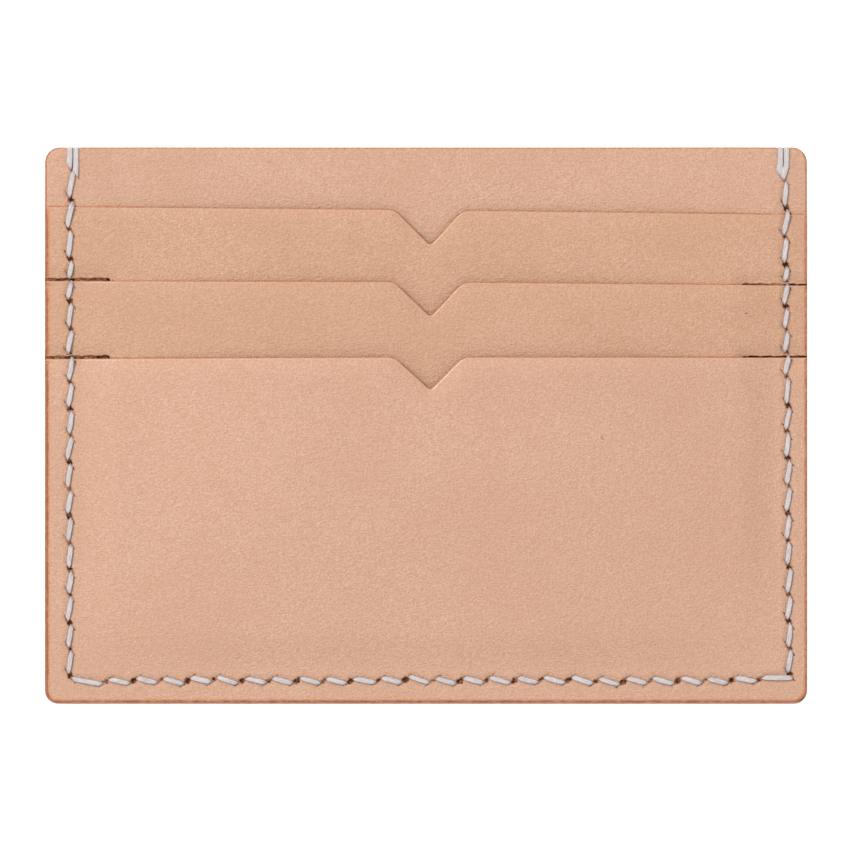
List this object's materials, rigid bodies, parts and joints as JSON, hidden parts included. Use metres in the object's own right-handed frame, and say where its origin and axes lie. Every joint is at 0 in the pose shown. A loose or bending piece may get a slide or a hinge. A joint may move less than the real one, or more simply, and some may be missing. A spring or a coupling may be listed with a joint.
{
  "type": "card holder",
  "caption": "Flat leather card holder with stepped, V-notched card slots on the front, a top-opening centre pocket and a saddle-stitched edge.",
  "frame": {"origin": "middle of the back face, in the plane that the holder lies on", "axes": "+X across the width, +Y towards the pocket mouths, +Z out of the front face"},
  "size_m": [0.1016, 0.0745, 0.0066],
  "materials": {
    "leather": "smooth natural vegetable-tanned leather with burnished edges",
    "thread": "waxed off-white linen thread"
  },
  "bodies": {
    "root": {"back_panel": "leather", "centre_panel": "leather", "upper_t_pocket": "leather", "lower_t_pocket": "leather", "lower_t_pocket_left_ear": "leather", "lower_t_pocket_right_ear": "leather", "front_pocket": "leather", "seam_thread_first_strand": "thread", "seam_thread_second_strand": "thread", "upper_pocket_thread": "thread", "lower_pocket_thread": "thread"}
  },
  "joints": []
}
